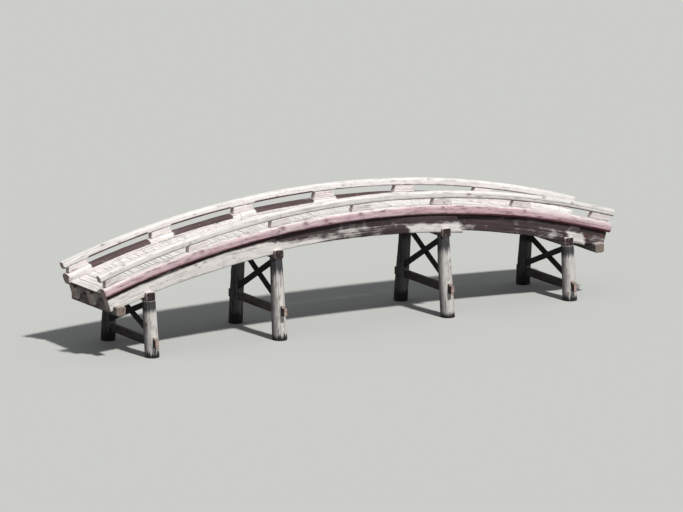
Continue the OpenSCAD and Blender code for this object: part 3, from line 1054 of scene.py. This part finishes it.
# The row of deck boards: one of several plank meshes on each point of the arc
def boardRowTree():
    tree, given = rowTree("boardRow", {"Planks": "Collection", "Slip": "Float"})
    seed = given["Seed"]
    angle = boardAngle(addNode("GeometryNodeInputIndex", tree=tree).outputs[0], given)
    slip = times(randomValue(-1.0, 1.0, seed, 1), given["Slip"])
    lift = times(randomValue(-deckBoards["sink"], 0.0, seed, 2), given["Slip"])
    spot = onArcPoint(angle, plus(given["Radius"], lift), slip, given)
    sockets = {"Collection": given["Planks"], "Separate Children": True, "Reset Children": True}
    planks = addNode("GeometryNodeCollectionInfo", sockets).outputs[0]
    skew = randomValue(-deckBoards["skew"], deckBoards["skew"], seed, 3)
    rock = randomValue(-deckBoards["rock"], deckBoards["rock"], seed, 4)
    tilt = plus(angle, rock)
    turn = addNode("ShaderNodeCombineXYZ", {0: 0.0, 1: tilt, 2: skew}).outputs[0]
    pick = calc("FLOOR", randomValue(0.0, deckBoards["kinds"] - 0.001, seed, 5))
    picked = {"Instance": planks, "Pick Instance": True, "Instance Index": pick}
    instances = rowOf(given["Boards"], spot, turn, picked)
    toned = addNode("GeometryNodeStoreNamedAttribute", {
        "Geometry": instances, "Name": "pieceTone", "Value": randomValue(0.0, 1.0, seed, 6),
    }, data_type="FLOAT", domain="INSTANCE")
    return endTree(tree, given, toned.outputs[0])


firstAngle, lastAngle = angleAt(-arch["deckPlanHalf"]), angleAt(arch["deckPlanHalf"])
boardWidth = (lastAngle - firstAngle) * arch["deckRadius"] / deckBoards["count"] - deckBoards["gap"]
plankKinds = bpy.data.collections.new("plankKinds")
bpy.context.scene.collection.children.link(plankKinds)
for k in range(deckBoards["kinds"]):
    half = deckBoards["halfLength"] - deckBoards["shorterBy"] * (k % 3)
    place = onLine((0, -half, -arch["boardThickness"] / 2), (0, 1, 0), (-1, 0, 0))
    size = (2 * half, boardWidth, arch["boardThickness"])
    part = timber(size, place, deckBoards["wear"], deckBoards["plankSeed"] + k)
    plank = meshPiece(f"plank_{k}", [part], finishes["boards"], skip=("pieceTone",))
    bpy.context.scene.collection.objects.unlink(plank)
    plankKinds.objects.link(plank)
rowValues = {
    "Boards": deckBoards["count"], "Radius": arch["deckRadius"], "First Angle": firstAngle,
    "Last Angle": lastAngle, "Centre Height": centreZ,
}
deckNodes = [f"deck_{i + 1}" for i in range(5)]
grown("deck_boards", boardRowTree(), {
    **rowValues, "Planks": plankKinds, "Slip": deckBoards["slip"], "Seed": deckBoards["rowSeed"],
    "Finish": finishes["boards"],
}, "deck_boards", deckNodes)
for plank in list(plankKinds.objects):
    bpy.data.objects.remove(plank)
bpy.data.collections.remove(plankKinds)
print("deck boards made:", deckBoards["count"])

# Nails
deckNails = {
    "headRadius": 0.007,
    "headRise": 0.0025,
    "corners": 10,
    "lineApart": 0.712,      # from girder to girder
    "pairApart": 0.062,      # from the middle of a board
    "inBoard": 6.0,
    "stray": 0.006,
    "proud": 0.0005,         # of the deck
    "seed": 5,
}


# Two nails through each board over each girder
def nailRowTree():
    own = {"Nail": "Object", "Line Apart": "Float", "Pair Apart": "Float", "Stray": "Float"}
    tree, given = rowTree("nailRow", own)
    number = addNode("GeometryNodeInputIndex", tree=tree).outputs[0]
    board = calc("FLOOR", calc("DIVIDE", number, deckNails["inBoard"]))
    inBoard = calc("FLOORED_MODULO", number, deckNails["inBoard"])
    row = minus(calc("FLOOR", calc("DIVIDE", inBoard, 2.0)), 1.0)
    inPair = calc("FLOORED_MODULO", inBoard, 2.0)
    hand = minus(times(inPair, 2.0), 1.0)
    strayX = times(randomValue(-1.0, 1.0, given["Seed"], 1), given["Stray"])
    strayY = times(randomValue(-1.0, 1.0, given["Seed"], 2), given["Stray"])
    along = plus(times(hand, given["Pair Apart"]), strayX)
    angle = plus(boardAngle(board, given), calc("DIVIDE", along, given["Radius"]))
    across = plus(times(row, given["Line Apart"]), strayY)
    spot = onArcPoint(angle, given["Radius"], across, given)
    nail = addNode("GeometryNodeObjectInfo", {"Object": given["Nail"], "As Instance": True})
    turn = addNode("ShaderNodeCombineXYZ", {0: 0.0, 1: angle, 2: 0.0}).outputs[0]
    count = times(given["Boards"], deckNails["inBoard"])
    instances = rowOf(count, spot, turn, {"Instance": nail.outputs["Geometry"]})
    return endTree(tree, given, instances)


def nailHead():
    r, rise, corners = deckNails["headRadius"], deckNails["headRise"], deckNails["corners"]
    turns = [2 * k * math.pi / corners for k in range(corners)]
    points, faces = [], []
    for radius, z in [(r, -rise), (r, rise * 0.4), (r * 0.7, rise * 0.85)]:
        points += [(radius * math.cos(a), radius * math.sin(a), z) for a in turns]
    points += [(0, 0, rise), (0, 0, -rise)]
    for level in (0, corners):
        for k in range(corners):
            n = (k + 1) % corners
            faces.append((level + k, level + n, level + corners + n, level + corners + k))
    top, crown = 2 * corners, 3 * corners
    faces += [(top + k, top + (k + 1) % corners, crown) for k in range(corners)]
    faces += [((k + 1) % corners, k, crown + 1) for k in range(corners)]
    mesh = bpy.data.meshes.new("nailHead")
    mesh.from_pydata(points, [], faces)
    return newObject("nailHead", mesh)


def rustyIron():
    material = bpy.data.materials.new("rustyIron")
    tree = clearedTree(material)
    where = addNode("ShaderNodeTexCoord", tree=tree).outputs["Object"]
    rust = stretchedNoise(where, (90.0, 90.0, 90.0))
    share = ease(rust, 0.4, 0.62)
    colour = blendColours(share, (0.045, 0.035, 0.032, 1), (0.16, 0.062, 0.03, 1))
    rough = ease(rust, 0.3, 0.7, 0.5, 0.9)
    bump = addNode("ShaderNodeBump", {"Strength": 0.5, "Distance": 0.001, "Height": rust})
    shader = addNode("ShaderNodeBsdfPrincipled", {
        "Base Color": colour, "Roughness": rough, "Metallic": 0.55, "Normal": bump.outputs[0],
    })
    addNode("ShaderNodeOutputMaterial", {"Surface": shader.outputs[0]})
    return material


nail = nailHead()
grown("deck_nails", nailRowTree(), {
    **rowValues, "Radius": arch["deckRadius"] + deckNails["proud"], "Nail": nail,
    "Line Apart": deckNails["lineApart"], "Pair Apart": deckNails["pairApart"],
    "Stray": deckNails["stray"], "Seed": deckNails["seed"], "Finish": rustyIron(),
}, None)
bpy.data.objects.remove(nail)
print("nails made")

# Floor, light and camera
studio = {
    "floorColour": (0.60, 0.62, 0.605),
    "floorRadius": 260.0,
    "floorCorners": 64,
    "floorBounce": (0.26, 0.26, 0.25),    # what the timbers get back from the floor
    "backColour": (0.60, 0.62, 0.60),
    "skyColour": (0.97, 0.98, 1.0),
    "skyLight": 0.225,
    "sunColour": (1.0, 0.975, 0.94),
    "sunStrength": 3.05,
    "sunSoftness": 4.0,                   # degrees
    "sunFrom": (0.08, -0.58, 0.81),
    "azimuth": -31.1,                     # the photograph's viewing angle, in degrees
    "elevation": 12.5,
    "lens": 400.0,
    "sensorWidth": 36.0,
    "clip": (1.0, 1000.0),
    "distance": 177.0,
    "aim": (0.0, 0.0, 1.52),
}


def paleFloor():
    mesh = bpy.data.meshes.new("floor")
    r, corners = studio["floorRadius"], studio["floorCorners"]
    turns = [2 * math.pi * k / corners for k in range(corners)]
    mesh.from_pydata([(r * math.cos(a), r * math.sin(a), 0) for a in turns], [], [tuple(range(corners))])
    floor = newObject("floor", mesh)
    material = bpy.data.materials.new("paleFloor")
    tree = clearedTree(material)
    seen = addNode("ShaderNodeLightPath", tree=tree).outputs["Is Camera Ray"]
    colour = blendColours(seen, (*studio["floorBounce"], 1), (*studio["floorColour"], 1))
    shader = addNode("ShaderNodeBsdfDiffuse", {"Color": colour, "Roughness": 0.0})
    addNode("ShaderNodeOutputMaterial", {"Surface": shader.outputs[0]})
    mesh.materials.append(material)
    floor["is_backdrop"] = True


def softWorld():
    world = bpy.data.worlds.new("studioSky")
    bpy.context.scene.world = world
    tree = clearedTree(world)
    rays = addNode("ShaderNodeLightPath", tree=tree).outputs
    mirrored = calc("MAXIMUM", rays["Is Glossy Ray"], rays["Is Transmission Ray"])
    seen = calc("MAXIMUM", rays["Is Camera Ray"], mirrored)
    sky = {"Color": (*studio["skyColour"], 1), "Strength": studio["skyLight"]}
    backdrop = {"Color": (*studio["backColour"], 1), "Strength": 1.0}
    light = addNode("ShaderNodeBackground", sky, tree)
    back = addNode("ShaderNodeBackground", backdrop, tree)
    mixed = addNode("ShaderNodeMixShader", {0: seen, 1: light.outputs[0], 2: back.outputs[0]})
    addNode("ShaderNodeOutputWorld", {"Surface": mixed.outputs[0]})


def keySun():
    lamp = bpy.data.lights.new("keySun", "SUN")
    lamp.energy = studio["sunStrength"]
    lamp.angle = math.radians(studio["sunSoftness"])
    lamp.color = studio["sunColour"]
    sun = newObject("keySun", lamp)
    sun.rotation_mode = "QUATERNION"
    sun.rotation_quaternion = Vector(studio["sunFrom"]).to_track_quat("Z", "Y")


def photoCamera():
    a, e = math.radians(studio["azimuth"]), math.radians(studio["elevation"])
    back = Vector((math.sin(a) * math.cos(e), -math.cos(a) * math.cos(e), math.sin(e)))
    data = bpy.data.cameras.new("photoCamera")
    data.lens = studio["lens"]
    data.sensor_width = studio["sensorWidth"]
    data.clip_start, data.clip_end = studio["clip"]
    camera = newObject("photoCamera", data)
    camera.location = Vector(studio["aim"]) + back * studio["distance"]
    camera.rotation_mode = "QUATERNION"
    camera.rotation_quaternion = (-back).to_track_quat("-Z", "Y")
    bpy.context.scene.camera = camera


paleFloor()
softWorld()
keySun()
photoCamera()
bpy.context.scene.view_settings.view_transform = "Standard"
print("studio made")

low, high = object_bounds()
